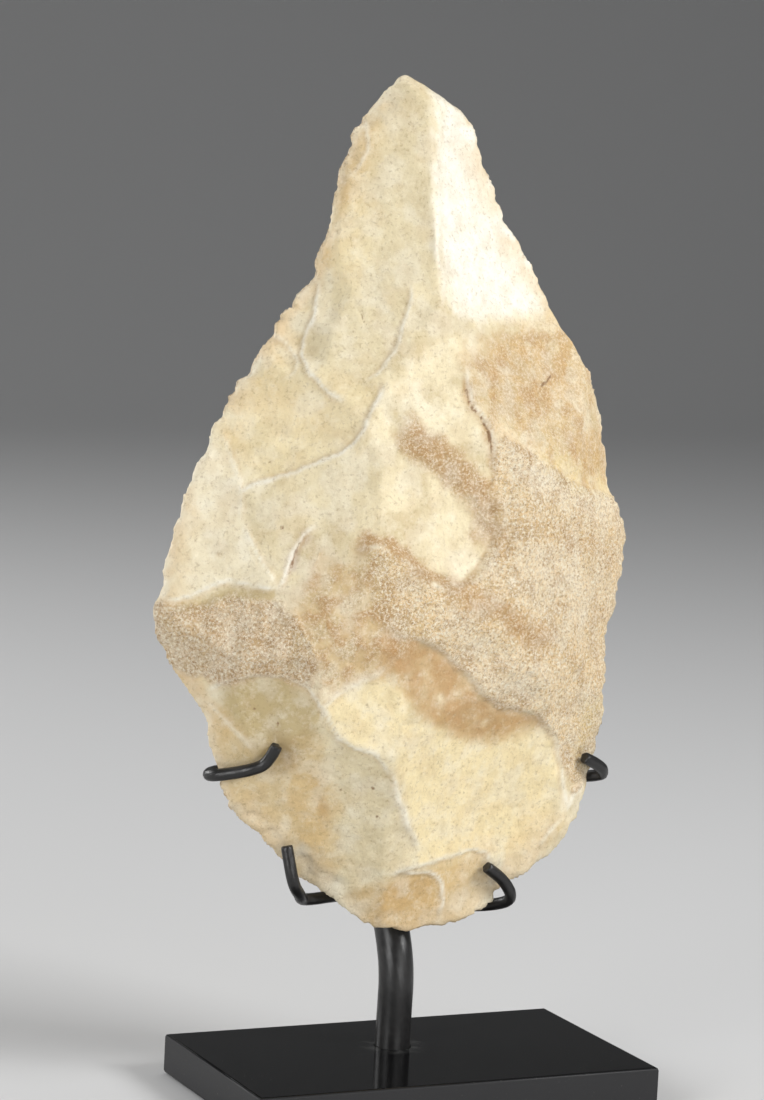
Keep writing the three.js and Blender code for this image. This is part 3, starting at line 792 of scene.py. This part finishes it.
stand_black = satin_black()
for node in METAL:
    bar = merged_copy(node, node + "_bar")
    lost = POST_LOSS if node == "post" else WIRE_LOSS
    ways_out = [way.vector.copy() for way in bar.data.vertex_normals]
    for vertex, way_out in zip(bar.data.vertices, ways_out):
        vertex.co += way_out * lost * MM
    rounded = bar.modifiers.new("rounded", "SUBSURF")
    rounded.levels = rounded.render_levels = 2
    applied(bar)
    if node != "post":
        corners = [vertex.co / MM for vertex in bar.data.vertices]
        corners.sort(key=lambda corner: abs(corner.x - POST_ACROSS))
        start = sum(corners[:START_CORNERS], Vector()) / START_CORNERS
        side = math.copysign(1, start.x - POST_ACROSS)
        form = bmesh.new()
        form.from_mesh(bar.data)
        bead = bmesh.ops.create_icosphere(form, subdivisions=3, radius=1.0)["verts"]
        bmesh.ops.scale(form, vec=BEAD_HALF * MM, verts=bead)
        bead_at = Vector((POST_ACROSS + side * BEAD_OFF, start.y, start.z))
        bmesh.ops.translate(form, vec=bead_at * MM, verts=bead)
        form.to_mesh(bar.data)
        form.free()
    smooth_faces(bar)
    bar.data.materials.append(stand_black)
    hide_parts(node)
    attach(bar, "root")


# The studio.
# A pale sheet that lies under the stand and sweeps up behind it. A large soft light stands at the
# right, with weaker ones at the left, low in front, above, and behind at the left.
SHEET_HALF = 5.0
SHEET_FRONT = -5.0
SHEET_DROP = 0.2 * MM
SWEEP_START = 1.4
SWEEP_RADIUS = 1.2
SHEET_TOP = 4.0
SWEEP_STEPS = 24


def pale_sheet():
    n = Nodes("pale_sheet")
    n.shader.inputs["Base Color"].default_value = (0.6, 0.6, 0.6, 1)
    n.shader.inputs["Roughness"].default_value = 0.8
    n.shader.inputs["Specular IOR Level"].default_value = 0.2
    return n.material


profile = [(SHEET_FRONT, 0.0)]
for step in range(SWEEP_STEPS + 1):
    turn = step / SWEEP_STEPS * math.pi / 2
    back = SWEEP_START + SWEEP_RADIUS * math.sin(turn)
    profile.append((back, SWEEP_RADIUS * (1 - math.cos(turn))))
profile.append((SWEEP_START + SWEEP_RADIUS, SHEET_TOP))
sheet_points = [(side * SHEET_HALF, y, z - SHEET_DROP) for y, z in profile for side in (-1, 1)]
sheet_faces = [(2 * i, 2 * i + 1, 2 * i + 3, 2 * i + 2) for i in range(len(profile) - 1)]
sheet_mesh = bpy.data.meshes.new("sheet")
sheet_mesh.from_pydata(sheet_points, [], sheet_faces)
sheet = bpy.data.objects.new("sheet", sheet_mesh)
bpy.context.collection.objects.link(sheet)
smooth_faces(sheet)
sheet.data.materials.append(pale_sheet())

# Each light: its name, place, size and power.
LIGHTS = [
    ("key", (0.62, -0.6, 0.65), 0.4, 8.4),
    ("fill", (-0.95, -0.4, 0.3), 0.5, 4.5),
    ("low", (0.1, -0.9, 0.05), 0.5, 3.0),
    ("top", (0.1, 0.25, 1.0), 0.6, 2.5),
    ("back", (-0.75, 0.8, 0.45), 0.5, 7.0),
]
LIT_POINT = Vector((0, 0, 0.1))
for name, place, size, power in LIGHTS:
    lamp = bpy.data.lights.new(name, "AREA")
    lamp.size = size
    lamp.energy = power
    holder = bpy.data.objects.new(name, lamp)
    holder.location = place
    holder.rotation_euler = (LIT_POINT - Vector(place)).to_track_quat("-Z", "Y").to_euler()
    bpy.context.collection.objects.link(holder)

world = bpy.data.worlds.new("room")
world.use_nodes = True
world.node_tree.nodes["Background"].inputs["Color"].default_value = (0.82, 0.83, 0.84, 1)
world.node_tree.nodes["Background"].inputs["Strength"].default_value = 0.19
bpy.context.scene.world = world
bpy.context.scene.view_settings.view_transform = "Standard"
